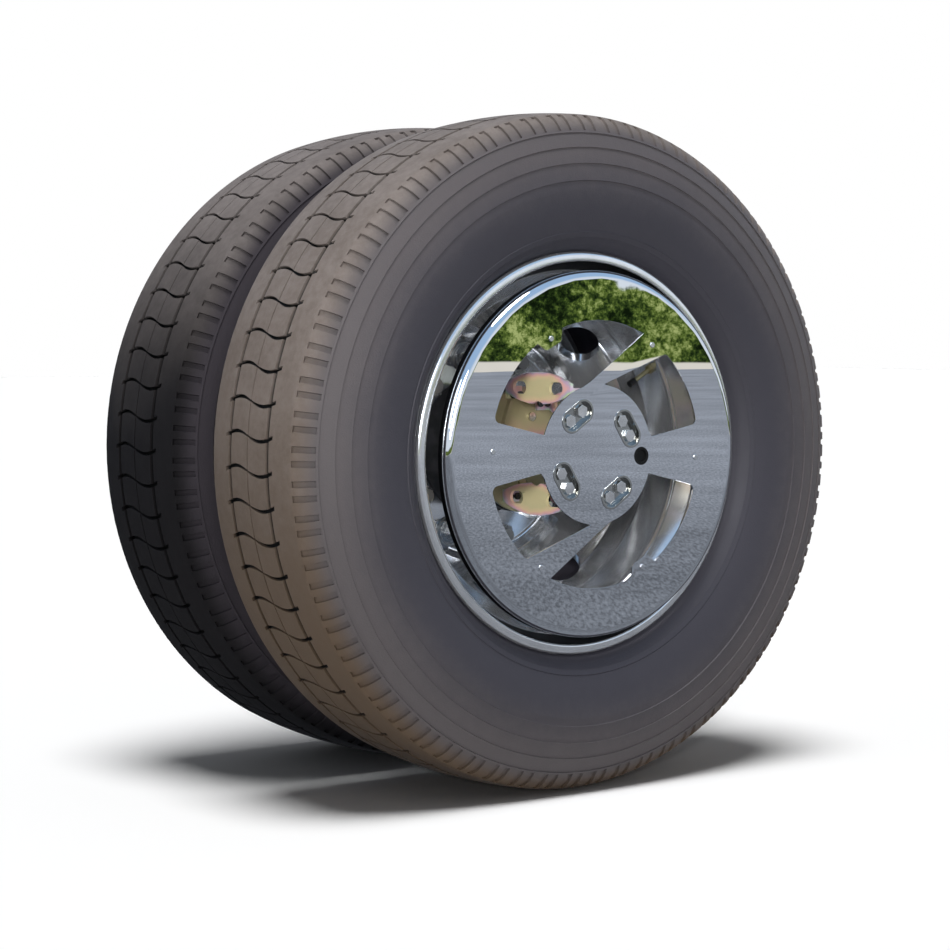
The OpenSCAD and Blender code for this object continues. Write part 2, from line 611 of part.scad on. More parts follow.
module access_plug() color([0.05, 0.05, 0.05]) on_axle() rotate([0, 0, pattern_turn])
    translate([plug_r, 0, 0]) difference() {
        union() {
            translate([0, 0, cover_face - cover_t - 2]) cylinder(d = plug_d - 2 * fit_gap, h = cover_t + 2.5);
            translate([0, 0, cover_face]) cylinder(d = plug_d + 3, h = 0.8);
            translate([0, 0, cover_face - cover_t - 2]) cylinder(d = plug_d + 3, h = 2);
        }
        translate([0, 0, cover_face - 3]) cylinder(d = plug_d - 5, h = 6);
    }

outer_tyre();
inner_tyre();
outer_wheel();
inner_wheel();
wheel_hub();
outer_bearing_cup();
inner_bearing_cup();
hub_seal();
wheel_studs();
nut_washers();
wheel_nuts();
cap_gasket();
hub_cap();
base_plate();
base_bolts();
upper_left_arm();
lower_left_arm();
upper_right_arm();
lower_right_arm();
arm_screws();
front_plate();
cover_plate();
window_cups();
cover_bolts();
cover_rivets();
access_plug();
outer_valve_stem();
inner_valve_stem();
valve_caps();
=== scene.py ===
import math

import bpy
from mathutils import Matrix, Vector


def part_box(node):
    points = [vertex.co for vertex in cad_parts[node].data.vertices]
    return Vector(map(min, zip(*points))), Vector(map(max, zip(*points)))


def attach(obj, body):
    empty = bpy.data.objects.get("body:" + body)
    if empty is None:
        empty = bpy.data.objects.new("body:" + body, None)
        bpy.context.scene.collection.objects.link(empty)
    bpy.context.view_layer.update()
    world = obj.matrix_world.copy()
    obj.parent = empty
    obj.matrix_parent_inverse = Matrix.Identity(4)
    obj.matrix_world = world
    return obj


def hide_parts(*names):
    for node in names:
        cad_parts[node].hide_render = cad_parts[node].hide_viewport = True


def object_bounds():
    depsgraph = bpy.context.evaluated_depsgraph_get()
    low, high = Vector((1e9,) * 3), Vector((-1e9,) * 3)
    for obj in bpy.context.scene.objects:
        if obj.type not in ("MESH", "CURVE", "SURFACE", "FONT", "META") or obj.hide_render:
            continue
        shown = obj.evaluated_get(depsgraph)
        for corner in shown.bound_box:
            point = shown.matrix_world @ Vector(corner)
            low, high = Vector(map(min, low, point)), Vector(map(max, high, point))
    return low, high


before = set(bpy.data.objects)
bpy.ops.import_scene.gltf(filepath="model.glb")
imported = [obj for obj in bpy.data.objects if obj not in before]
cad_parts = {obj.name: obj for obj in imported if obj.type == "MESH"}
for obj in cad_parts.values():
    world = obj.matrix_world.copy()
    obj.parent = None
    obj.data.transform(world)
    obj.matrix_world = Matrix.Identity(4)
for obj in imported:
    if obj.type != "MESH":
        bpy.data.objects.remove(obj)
cad_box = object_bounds()


# The camera stands to the left of the wheels and a little above the axle, as the photograph was taken.
# Its place is in metres from the middle of the pair.
CAMERA_PLACE = Vector((-2.1651, -2.9795, 0.1939))
CAMERA_ROLL = 0.0017
CAMERA_LENS = 88.70
CAMERA_SHIFT = (0.0044, -0.0313)

looking = -CAMERA_PLACE.normalized()
sideways = looking.cross(Vector((0, 0, 1))).normalized()
upwards = sideways.cross(looking).normalized()
camera_data = bpy.data.cameras.new("camera")
camera = bpy.data.objects.new("camera", camera_data)
bpy.context.scene.collection.objects.link(camera)
camera.matrix_world = (
    Matrix.Translation(CAMERA_PLACE)
    @ Matrix((sideways, upwards, -looking)).transposed().to_4x4()
    @ Matrix.Rotation(CAMERA_ROLL, 4, "Z")
)
camera_data.sensor_width = 36
camera_data.lens = CAMERA_LENS
camera_data.shift_x, camera_data.shift_y = CAMERA_SHIFT
camera_data.clip_end = 100
bpy.context.scene.camera = camera
bpy.context.scene.view_settings.view_transform = "Standard"


# The studio is a white floor under a soft sun from above, with soft lamps that light the object only.
# Polished metal sees a plain yard in their place: grey asphalt, a pale kerb, a hedge and a bright sky.
# The height of a ray over the horizon is the third part of its direction.
HEDGE_FOOT = -0.0165
HEDGE_TOP = 0.017
HEDGE_GREENS = [
    (0.41, (0.006, 0.012, 0.004)), (0.475, (0.035, 0.065, 0.014)), (0.53, (0.15, 0.22, 0.04)),
    (0.60, (0.52, 0.60, 0.22)),
]
LEAF_SCALE = 330.0
TREE_SCALE = 34.0
TREE_SWING = 0.045
LEAF_SWING = 0.006
SKY_LIGHT = (1.0, 1.04, 1.1)
SKY_LOW = (0.90, 0.97, 1.05)
SKY_HIGH = (0.42, 0.62, 0.90)
KERB_PALE = (0.95, 0.90, 0.80)
STUDIO_LEVEL = 0.12


class Signal:
    """A shader value, so that sums, products and limits on it are written as plain expressions."""

    def __init__(self, tree, socket=None):
        self.tree = tree
        self.socket = socket

    def node(self, kind, settings, inputs, output=0):
        made = self.tree.nodes.new("ShaderNode" + kind)
        for name, value in settings.items():
            if name == "stops":
                elements = made.color_ramp.elements
                elements[0].position, elements[0].color = value[0][0], (*value[0][1], 1)
                elements[1].position, elements[1].color = value[-1][0], (*value[-1][1], 1)
                for place, colour in value[1:-1]:
                    elements.new(place).color = (*colour, 1)
            else:
                setattr(made, name, value)
        for name, value in inputs.items():
            if isinstance(value, Signal):
                self.tree.links.new(value.socket, made.inputs[name])
            elif isinstance(value, tuple) and made.inputs[name].type == "RGBA":
                made.inputs[name].default_value = (*value, 1)
            else:
                made.inputs[name].default_value = value
        return Signal(self.tree, made.outputs[output] if made.outputs else None)

    def math(self, operation, *values):
        return self.node("Math", {"operation": operation}, dict(enumerate(values)))

    def __add__(self, other):
        return self.math("ADD", self, other)

    def __sub__(self, other):
        return self.math("SUBTRACT", self, other)

    def __rsub__(self, other):
        return self.math("SUBTRACT", other, self)

    def __mul__(self, other):
        return self.math("MULTIPLY", self, other)

    def __pow__(self, other):
        return self.math("POWER", self, other)

    __radd__ = __add__
    __rmul__ = __mul__

    def rise(self, low, high):
        """0 below low, 1 above high, and a smooth change between them; low may be the larger."""
        return self.node("MapRange", {"interpolation_type": "SMOOTHSTEP"}, {0: self, 1: low, 2: high})

    def mixed(self, first, second):
        """The colour first where this is 0 and second where it is 1."""
        return self.node("Mix", {"data_type": "RGBA"}, {0: self, 6: first, 7: second}, 2)

    def noise(self, scale, detail=3.0, rough=0.5):
        """Cloudy noise over this position."""
        return self.node(
            "TexNoise", {}, {"Vector": self, "Scale": scale, "Detail": detail, "Roughness": rough})

    def part(self, index):
        """One axis of this position: 0, 1 or 2."""
        return self.node("SeparateXYZ", {}, {0: self}, index)


world = bpy.data.worlds.new("studio")
bpy.context.scene.world = world
world.use_nodes = True
world.node_tree.nodes.clear()
sky = Signal(world.node_tree)
ray = sky.node("TexCoord", {}, {}, 0)
height = ray.part(2)
leaves = ray.noise(LEAF_SCALE, 6.0, 0.8)
trees = ray.noise(TREE_SCALE, 3.0)
clumps = leaves * 0.62 + trees * 0.38
hedge = clumps.node("ValToRGB", {"stops": HEDGE_GREENS}, {0: clumps})
high_sky = height.rise(0.05, 0.5).mixed(SKY_LOW, SKY_HIGH)
above_kerb = height.rise(HEDGE_FOOT - 0.001, HEDGE_FOOT)
ragged_height = height + (trees - 0.5) * TREE_SWING + (leaves - 0.5) * LEAF_SWING
above_hedge = ragged_height.rise(HEDGE_TOP, HEDGE_TOP + 0.003)
seen_by_metal = above_hedge.mixed(above_kerb.mixed(KERB_PALE, hedge), high_sky)
is_camera = sky.node("LightPath", {}, {}, 0)
is_glossy = sky.node("LightPath", {}, {}, 3)
room = is_camera.mixed(tuple(STUDIO_LEVEL * c for c in SKY_LIGHT), (1.0, 1.0, 1.0))
background = sky.node("Background", {}, {0: is_glossy.mixed(room, seen_by_metal), 1: 1.0})
sky.node("OutputWorld", {}, {0: background})

# The floor is matt white. Metal sees it as asphalt, darker near the object, whose grit is drawn out
# along the way that the cover mirrors, so that it looks even there.
FLOOR_HALF = 24.0
YARD_GREY = (0.30, 0.325, 0.37)
NEAR_SHADES = (0.36, 1.15)
FAR_SHADES = (0.82, 1.75)
MIRROR_X = 0.588
MIRROR_Y = 0.809
GRIT_ASIDE = 105.0
GRIT_AWAY = 13.0
bpy.ops.object.select_all(action="DESELECT")
bpy.ops.mesh.primitive_plane_add(size=2 * FLOOR_HALF, location=(0, 0, cad_box[0][2]))
floor = bpy.context.object
floor.name = "studio_floor"
floor_paint = bpy.data.materials.new("studio_floor")
floor_paint.use_nodes = True
floor_paint.node_tree.nodes.clear()
paint = Signal(floor_paint.node_tree)
spot = paint.node("TexCoord", {}, {}, 3)
away = spot.part(0) * MIRROR_X - spot.part(1) * MIRROR_Y
aside = spot.part(0) * MIRROR_Y + spot.part(1) * MIRROR_X
lane = spot.node("CombineXYZ", {}, {0: aside * GRIT_ASIDE, 1: away * GRIT_AWAY, 2: 0.0})
specks = lane.noise(1.0, 4.0, 0.7)
patches = spot.noise(1.3, 3.0)
mottle = (specks * 0.8 + patches * 0.3).rise(0.36, 0.78)
near_yard = mottle.mixed(*(tuple(shade * c for c in YARD_GREY) for shade in NEAR_SHADES))
far_yard = mottle.mixed(*(tuple(shade * c for c in YARD_GREY) for shade in FAR_SHADES))
yard = away.rise(1.5, 9.0).mixed(near_yard, far_yard)
matt = paint.node("BsdfDiffuse", {}, {0: (1.0, 1.0, 1.0)})
glow = paint.node("Emission", {}, {0: yard, 1: 1.0})
is_glossy = paint.node("LightPath", {}, {}, 3)
both = paint.node("MixShader", {}, {0: is_glossy, 1: matt, 2: glow})
paint.node("OutputMaterial", {}, {0: both})
floor.data.materials.append(floor_paint)

# The side lamps leave the floor out, so that it keeps the object's shadow.
unlit = bpy.data.collections.new("not_lit_by_side_lamps")
unlit.objects.link(floor)
unlit.collection_objects[0].light_linking.link_state = "EXCLUDE"


SUN_STRENGTH = 2.85
SUN_WIDTH = math.radians(26)
SUN_TILT = (math.radians(10), math.radians(-7), 0)
sun_data = bpy.data.lights.new("soft_sun", "SUN")
sun_data.energy = SUN_STRENGTH
sun_data.angle = SUN_WIDTH
sun = bpy.data.objects.new("soft_sun", sun_data)
sun.rotation_euler = SUN_TILT
bpy.context.scene.collection.objects.link(sun)


def hung_lamp(name, kind, place, aim, watts):
    """A lamp of one kind that hangs at a place and points at another."""
    lamp_data = bpy.data.lights.new(name, kind)
    lamp_data.energy = watts
    lamp = bpy.data.objects.new(name, lamp_data)
    turn = (Vector(aim) - Vector(place)).to_track_quat("-Z", "Y").to_matrix().to_4x4()
    lamp.matrix_world = Matrix.Translation(place) @ turn
    bpy.context.scene.collection.objects.link(lamp)
    return lamp


for lamp_name, lamp_place, lamp_size, lamp_watts in (
    ("lamp_left", (-3.2, -1.2, 1.5), 1.6, 15),
    ("lamp_front", (-1.6, -3.2, 1.1), 1.4, 31),
):
    side_lamp = hung_lamp(lamp_name, "AREA", lamp_place, (0, 0, 0), lamp_watts)
    side_lamp.data.shape = "DISK"
    side_lamp.data.size = lamp_size
    side_lamp.light_linking.receiver_collection = unlit

hub_lamp = hung_lamp("lamp_hub", "SPOT", (-2.25, -2.75, 0.55), (0, -0.3, 0), 500)
hub_lamp.data.spot_size = math.radians(11.5)
hub_lamp.data.spot_blend = 0.8
hub_lamp.data.shadow_soft_size = 0.28


# The outer tyre: one vulcanised piece with a ribbed tread, two notches a pitch on each shoulder and
# stepped rings on the sidewall. One pitch is laid out flat, wrapped on the section and spun round.
MM = 0.001
TYRE_R = 0.5055
TREAD_HALF = 0.095
CROWN_DROP = 0.005
SIDE_HALF = 0.145
SIDE_R = 0.398
CUSHION_R = 0.3005
CUSHION_HALF = 0.1118
TYRE_MIDDLE = 0.166
TREAD_PHASE = math.radians(1.2)
PITCHES = 65
PITCH = 2 * math.pi * TYRE_R / PITCHES
GROOVE_DEEP = 0.009
GROOVE_SWING = 0.0068
GROOVE_END = 0.062
GROOVE_RAMP = 0.0016
GROOVE_HALF = 0.0013
GROOVE_WIDENS = 0.0019
GROOVE_DRAFT = 0.0004
GROOVE_EDGE = 0.5
ROUND_GROOVES = (0.0464, 0.0536, 0.0050)
MIDDLE_SLIT = (0.0011, 0.0016)
MIDDLE_RIB_MM = (3, 8, 15, 22, 28.5, 35, 41)
SHOULDER_RIB_MM = (57.5, 61.0, 62.6, 70, 79, 88)
NOTCH_AT = 0.0141
NOTCH_HALF = 0.0040
NOTCH_DEEP = 0.0034
NOTCH_LEAN = (0.62, 0.78)
NOTCH_SPAN = (0.4740, 0.4985)
NOTCH_ROWS = (0.4945, 0.4900, 0.4850, 0.4800)
SIDE_STEPS = (0.4700, 0.4485, 0.4250, 0.4000)
STEP_PROFILE = ((0.0030, 0), (0.0010, -0.0006), (0.0, 0.0013), (-0.0016, 0.0015), (-0.0075, 0))
PLAIN_FLANK = (0.385, 0.376, 0.360, 0.345, 0.333)
RIM_LINE = ((0.3275, 0), (0.3262, 0.0016), (0.3188, 0.0016), (0.3172, 0), (0.3110, 0), (0.3040, 0))
BEAD_AND_LINER = (
    (0.1102, 0.3005), (0.1052, 0.2945), (0.1046, 0.2880), (0.1000, 0.2848), (0.0740, 0.2780),
    (0.0700, 0.2810), (0.0870, 0.3080), (0.1190, 0.3320), (0.1320, 0.3950), (0.1240, 0.4440),
    (0.1000, 0.4740), (0.0600, 0.4785), (0.0200, 0.4790),
)


def crown_r(across):
    """The radius of the tread at a distance from its middle."""
    return TYRE_R - CROWN_DROP * (across / TREAD_HALF) ** 2


def shoulder_point(r):
    """How far out the sidewall stands at a radius above its widest place."""
    shoulder = TYRE_R - CROWN_DROP
    part = math.sqrt(max(0.0, 1 - ((r - SIDE_R) / (shoulder - SIDE_R)) ** 2))
    return TREAD_HALF + (SIDE_HALF - TREAD_HALF) * part


def flank_point(r):
    """How far out the sidewall stands at a radius below its widest place."""
    part = math.sqrt(max(0.0, 1 - ((SIDE_R - r) / (SIDE_R - CUSHION_R - 0.0015)) ** 2))
    return CUSHION_HALF + (SIDE_HALF - CUSHION_HALF) * part


def half_section():
    """Points from the middle of the tread out and round to the middle inside: across, radius, kind."""
    rows = [(MIDDLE_SLIT[0], MIDDLE_SLIT[1], "tread"), (MIDDLE_SLIT[0] + 0.0002, 0, "tread")]
    rows += [(w * MM, 0, "tread") for w in MIDDLE_RIB_MM]
    inner, outer, deep = ROUND_GROOVES
    rows += [(inner - 0.0006, 0, "tread"), (inner, deep, "tread"), (outer, deep, "tread"),
             (outer + 0.0006, 0, "tread")]
    rows += [(w * MM, 0, "tread") for w in SHOULDER_RIB_MM]
    points = [(w, crown_r(w) - sink, kind) for w, sink, kind in rows]
    points.append((TREAD_HALF - 0.002, TYRE_R - CROWN_DROP - 0.0002, "edge"))
    for r in (0.5000, 0.4992, NOTCH_SPAN[1], NOTCH_SPAN[1] - 0.0006):
        points.append((shoulder_point(r), r, "notch" if r < NOTCH_SPAN[1] else "side"))
    for r in (*NOTCH_ROWS, NOTCH_SPAN[0] + 0.0006):
        points.append((shoulder_point(r), r, "notch"))
    points.append((shoulder_point(NOTCH_SPAN[0]), NOTCH_SPAN[0], "side"))
    for step in SIDE_STEPS:
        for gap, sink in STEP_PROFILE:
            r = step + gap
            points.append(((shoulder_point(r) if r >= SIDE_R else flank_point(r)) - sink, r, "side"))
    points += [(flank_point(r), r, "side") for r in PLAIN_FLANK]
    points += [(flank_point(r) + lift, r, "side") for r, lift in RIM_LINE]
    points += [(w, r, "side") for w, r in BEAD_AND_LINER]
    return points


def pitch_columns():
    """Places round one pitch, from the middle of one block to the next, and what is cut at each."""
    block = PITCH / 2
    near, far = NOTCH_AT - NOTCH_HALF, NOTCH_AT + NOTCH_HALF
    right = [(GROOVE_EDGE, "cut"), (GROOVE_EDGE, "top"), (0.0065, "top"), (near - 0.0009, "top"),
             (near, "notch"), (far, "notch"), (far + 0.0009, "top"), (block, "top")]
    return [(-place, what) for place, what in reversed(right)] + right


def build_tyre(name):
    """One pitch of tread and sidewall, wrapped on the section from a flat grid and spun round."""
    half = half_section()
    section = [(-w, r, kind) for w, r, kind in reversed(half)] + half
    columns = pitch_columns()
    bpy.ops.object.select_all(action="DESELECT")
    bpy.ops.mesh.primitive_grid_add(
        x_subdivisions=len(columns) - 1, y_subdivisions=len(section), size=1)
    piece = bpy.context.object
    piece.name = name
    for index, vertex in enumerate(piece.data.vertices):
        row, column = divmod(index, len(columns))
        outboard, r, kind = section[row % len(section)]
        place, what = columns[column]
        share = max(-1.0, min(1.0, outboard / GROOVE_END))
        swing = GROOVE_SWING * math.sin(math.pi * share)
        groove_half = GROOVE_HALF + GROOVE_WIDENS * math.sqrt(abs(share))
        if abs(place) == GROOVE_EDGE:
            edge = groove_half if what == "top" else groove_half - GROOVE_DRAFT
            place = math.copysign(edge, place)
        ramp = min(1.0, max(0.0, (GROOVE_END + 0.0006 - abs(outboard)) / GROOVE_RAMP))
        if what == "cut" and kind == "tread":
            r = min(r, crown_r(outboard) - GROOVE_DEEP * ramp)
        if what == "notch" and kind == "notch":
            r -= NOTCH_DEEP * NOTCH_LEAN[0]
            outboard -= math.copysign(NOTCH_DEEP * NOTCH_LEAN[1], outboard)
        angle = (place + swing) / TYRE_R
        vertex.co = (r * math.cos(angle), -outboard, r * math.sin(angle))
    bpy.ops.object.mode_set(mode="EDIT")
    bpy.ops.mesh.select_all(action="SELECT")
    bpy.ops.mesh.remove_doubles(threshold=0.00001)
    bpy.ops.mesh.spin(steps=PITCHES, dupli=True, angle=2 * math.pi, center=(0, 0, 0), axis=(0, 1, 0))
    bpy.ops.mesh.select_all(action="SELECT")
    bpy.ops.mesh.remove_doubles(threshold=0.00002)
    bpy.ops.mesh.normals_make_consistent(inside=False)
    bpy.ops.object.mode_set(mode="OBJECT")
    bpy.ops.object.shade_smooth_by_angle(angle=math.radians(32))
    return piece


def principled(name, base, rough, metal=0.0, bump=None, **more):
    """A named material from one Principled shader; base, rough and bump may vary over the surface."""
    made = bpy.data.materials.new(name)
    made.use_nodes = True
    made.node_tree.nodes.clear()
    signal = Signal(made.node_tree)
    place = signal.node("TexCoord", {}, {}, 3)
    inputs = {"Base Color": base, "Roughness": rough, "Metallic": metal, **more}
    inputs = {socket: value(place) if callable(value) else value for socket, value in inputs.items()}
    if bump is not None:
        relief, depth = bump
        inputs["Normal"] = place.node(
            "Bump", {}, {"Strength": 1.0, "Distance": depth, "Height": relief(place)})
    signal.node("OutputMaterial", {}, {0: signal.node("BsdfPrincipled", {}, inputs)})
    return made


def rubber(name, middle, tread_colour, dust_colour, low_dirt_and_shade_colour, low_dirt_and_shade_span,
           side_colour, scuff_and_shade_colour, shine):
    """Tyre rubber: dusty on the tread and darker low down, painted black in the grooves as shade, bluish
    by the rim.
    """

    def radius(at):
        return (at.part(0) ** 2.0 + at.part(2) ** 2.0) ** 0.5

    def across(at):
        return (at.part(1) - middle).math("ABSOLUTE", at.part(1) - middle)

    def colour(at):
        r = radius(at)
        w = across(at)
        worn = (at.noise(9.0, 4.0, 0.6) * 0.6 + at.noise(70.0, 3.0, 0.7) * 0.55).rise(0.32, 0.86)
        # Low down the rubber takes the low colour: brown road dirt on the outer tyre, painted shade on the
        # inner one.
        dirt_and_shade_low = (at.part(2) * -1.0 + at.noise(5.0) * 0.2).rise(*low_dirt_and_shade_span)
        tread = dirt_and_shade_low.mixed(worn.mixed(tread_colour, dust_colour), low_dirt_and_shade_colour)
        on_tread = r.rise(0.470, 0.4985)
        # The scuffed sidewall colour is dust on the outer tyre and a darker copy, painted shade, on the
        # inner one.
        scuffed = (r + worn * 0.02).rise(0.36, 0.475)
        side = scuffed.mixed(side_colour, scuff_and_shade_colour)
        skin = on_tread.mixed(side, tread)
        sunk = (TYRE_R - CROWN_DROP * ((w * (1 / TREAD_HALF)) ** 2.0) - r).rise(0.0012, 0.0060)
        # The grooves are painted black, as painted shade in the recesses.
        groove_shade = sunk * w.rise(0.0905, 0.0895)
        return groove_shade.mixed(skin, (0.006, 0.006, 0.006))

    def roughness(at):
        return radius(at).rise(0.470, 0.498) * 0.22 + at.noise(40.0) * 0.16 + 0.50

    def grain(at):
        return at.noise(420.0, 3.0, 0.7) * 0.6 + at.noise(90.0, 3.0) * 0.4

    return principled(name, colour, roughness, bump=(grain, 0.0006), **{"Specular IOR Level": shine})


outer_tyre = build_tyre("outer_tyre_rubber")
outer_tyre.data.transform(
    Matrix.Translation((0, -TYRE_MIDDLE, 0)) @ Matrix.Rotation(TREAD_PHASE, 4, "Y"))
outer_tyre.data.materials.append(rubber(
    "outer_tyre_rubber", -TYRE_MIDDLE, (0.136, 0.112, 0.098), (0.222, 0.192, 0.178), (0.096, 0.064, 0.040),
    (-0.30, 0.42), (0.036, 0.034, 0.043), (0.088, 0.077, 0.079), 0.30))
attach(outer_tyre, "root")
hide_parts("outer_tyre")


# The inner tyre is the same moulding on the inner wheel, turned a little against the outer one. It
# stands in the shade of that one, and its rubber is painted darker as shade: near black low down on
# the tread, and darker where the sidewall is scuffed.
TYRES_APART = 2 * TYRE_MIDDLE
INNER_TURN = math.radians(1.9)

inner_tyre = outer_tyre.copy()
inner_tyre.data = outer_tyre.data.copy()
inner_tyre.name = "inner_tyre_rubber"
bpy.context.scene.collection.objects.link(inner_tyre)
inner_tyre.data.transform(
    Matrix.Translation((0, TYRES_APART, 0)) @ Matrix.Rotation(INNER_TURN, 4, "Y"))
inner_tyre.data.materials.clear()
# Its near-black low colour and its darker scuff colour are painted shade.
inner_tyre.data.materials.append(rubber(
    "inner_tyre_rubber", TYRE_MIDDLE, (0.150, 0.132, 0.126), (0.230, 0.204, 0.196), (0.011, 0.010, 0.011),
    (-0.40, 0.08), (0.038, 0.035, 0.045), (0.046, 0.040, 0.047), 0.08))
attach(inner_tyre, "root")
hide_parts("inner_tyre")


# The two wheels are forged aluminium, turned and polished all over. Each is a clamped disc that slopes
# out as a dish with ten hand holes and runs into a rim with a deep well and rolled flanges.
OPEN_EDGE = 0.2835
CLOSED_EDGE = 0.0485
FLANGE_R = 0.29845
SEAT_R = 0.28575
WELL_R = 0.244
HAND_HOLE_R = 0.034
HAND_HOLE_AT = (0.216, 0.087)
DRILL_BACK = 0.018
DRILL_LENGTH = 0.060
DISH_SLOPE = math.radians(56)
WHEEL_TURN = math.radians(12)
STUD_CIRCLE = 0.142875
STUD_HOLE_R = 0.013375
HOLES = 10
# The wall of the rim behind its lip is painted black within these bounds, as painted shade.
LIP_SHADE_R = (0.2852, 0.2844)
LIP_SHADE_FRONT = (OPEN_EDGE - 0.0008, OPEN_EDGE - 0.0016)
LIP_SHADE_BACK = (0.240, 0.248)
PAINTED_SHADE_BLACK = (0.006, 0.006, 0.007)


def round_corner(a, b, c, radius, steps=5):
    """Points of an arc that rounds the corner b of the path from a by b to c."""
    a, b, c = Vector(a), Vector(b), Vector(c)
    u, v = (a - b).normalized(), (c - b).normalized()
    half = u.angle(v) / 2
    middle = b + (u + v).normalized() * radius / math.sin(half)
    p = b + u * radius / math.tan(half) - middle
    q = b + v * radius / math.tan(half) - middle
    turn = math.atan2(p.x * q.y - p.y * q.x, p.dot(q))
    return [tuple(middle + Matrix.Rotation(turn * i / steps, 2) @ p) for i in range(steps + 1)]


def rounded_path(points):
    """A closed outline from (x, y, radius) corners, with every corner that has a radius rounded."""
    outline = []
    for i, (x, y, radius) in enumerate(points):
        before, after = points[i - 1][:2], points[(i + 1) % len(points)][:2]
        outline += round_corner(before, (x, y), after, radius) if radius else [(x, y)]
    return outline


def turned(name, outline, steps=160):
    """A turned piece: its outline, as (radius, outboard) points, spun once round the axle."""
    bpy.ops.object.select_all(action="DESELECT")
    bpy.ops.mesh.primitive_circle_add(vertices=len(outline), radius=1)
    piece = bpy.context.object
    piece.name = name
    for vertex, (r, outboard) in zip(piece.data.vertices, outline):
        vertex.co = (r, -outboard, 0)
    bpy.ops.object.mode_set(mode="EDIT")
    bpy.ops.mesh.select_all(action="SELECT")
    bpy.ops.mesh.spin(steps=steps, angle=2 * math.pi, center=(0, 0, 0), axis=(0, 1, 0))
    bpy.ops.mesh.select_all(action="SELECT")
    bpy.ops.mesh.remove_doubles(threshold=0.00001)
    bpy.ops.mesh.normals_make_consistent(inside=False)
    bpy.ops.object.mode_set(mode="OBJECT")
    return piece


def drilled(piece, cutters):
    """Cuts the cutters, joined as one, out of a piece and removes them."""
    bpy.ops.object.select_all(action="DESELECT")
    for cutter in cutters:
        cutter.select_set(True)
    bpy.context.view_layer.objects.active = cutters[0]
    bpy.ops.object.join()
    bpy.ops.object.select_all(action="DESELECT")
    bpy.context.view_layer.objects.active = piece
    piece.select_set(True)
    cut = piece.modifiers.new("cut", "BOOLEAN")
    cut.object = cutters[0]
    cut.solver = "EXACT"
    bpy.ops.object.modifier_apply(modifier="cut")
    bpy.data.objects.remove(cutters[0])
    return piece


def rounded_edges(piece, width, segments, angle):
    """Breaks the sharp edges of a piece and shades it smooth between them."""
    bpy.ops.object.select_all(action="DESELECT")
    bpy.context.view_layer.objects.active = piece
    piece.select_set(True)
    edges = piece.modifiers.new("edges", "BEVEL")
    edges.width = width
    edges.segments = segments
    edges.limit_method = "ANGLE"
    edges.angle_limit = math.radians(angle)
    bpy.ops.object.modifier_apply(modifier="edges")
    bpy.ops.object.shade_smooth_by_angle(angle=math.radians(angle))
    flats = piece.modifiers.new("flats", "WEIGHTED_NORMAL")
    flats.weight = 100
    flats.keep_sharp = True
    bpy.ops.object.modifier_apply(modifier="flats")
    return piece


def round_bar(place, towards, radius, length, sides=48):
    """A plain bar that starts at place and runs towards a direction: used to drill holes."""
    bpy.ops.object.select_all(action="DESELECT")
    bpy.ops.mesh.primitive_cylinder_add(vertices=sides, radius=radius, depth=length)
    bar = bpy.context.object
    turn = Vector(towards).to_track_quat("Z", "Y").to_matrix().to_4x4()
    bar.data.transform(Matrix.Translation(place) @ turn @ Matrix.Translation((0, 0, length / 2)))
    return bar


wheel_outline = rounded_path([
    (0.27775, 0.2675, 0), (0.28375, OPEN_EDGE, 0.004), (FLANGE_R, OPEN_EDGE, 0.0062),
    (FLANGE_R, OPEN_EDGE - 0.0127, 0.0060), (0.2873, OPEN_EDGE - 0.0127, 0.002),
    (SEAT_R, 0.2688, 0), (0.2761, 0.2348, 0.006), (0.252, 0.206, 0.010), (0.252, 0.126, 0.010),
    (0.2761, 0.0972, 0.006), (SEAT_R, 0.0632, 0), (0.2873, CLOSED_EDGE + 0.0127, 0.002),
    (FLANGE_R, CLOSED_EDGE + 0.0127, 0.0060), (FLANGE_R, CLOSED_EDGE, 0.0062),
    (0.2850, CLOSED_EDGE, 0.004), (0.27675, 0.0625, 0), (0.26775, 0.0925, 0.004), (0.250, 0.1045, 0.004),
    (0.243, 0.103, 0.003), (0.235, 0.086, 0), (0.214, 0.052, 0.010), (0.201, 0.030, 0.010),
    (0.192, 0.012, 0.006), (0.180, 0.0, 0.003), (0.11005, 0.0, 0.001), (0.11005, 0.022, 0.001),
    (0.166, 0.022, 0.012), (0.180, 0.034, 0.020), (0.2322, 0.111, 0.030), (0.244, 0.140, 0.022),
    (WELL_R, 0.208, 0.014), (0.2681, 0.2315, 0.014),
])
DISH_AWAY = Vector((-math.sin(DISH_SLOPE), math.cos(DISH_SLOPE)))


def build_wheel(name):
    """A turned wheel, with hand holes drilled square to the dish and stud holes along the axle."""
    piece = turned(name, wheel_outline)
    cutters = []
    for i in range(HOLES):
        angle = WHEEL_TURN + i * math.pi / 5
        out = Vector((math.cos(angle), 0, math.sin(angle)))
        start = HAND_HOLE_AT[0] * out + Vector((0, -HAND_HOLE_AT[1], 0))
        away = DISH_AWAY.x * out + Vector((0, -DISH_AWAY.y, 0))
        cutters.append(round_bar(start - DRILL_BACK * away, away, HAND_HOLE_R, DRILL_LENGTH, 56))
        angle += math.pi / 10
        out = Vector((math.cos(angle), 0, math.sin(angle)))
        start = STUD_CIRCLE * out + Vector((0, 0.001, 0))
        cutters.append(round_bar(start, (0, -1, 0), STUD_HOLE_R, 0.024, 32))
    drilled(piece, cutters)
    return rounded_edges(piece, 0.0022, 3, 35)


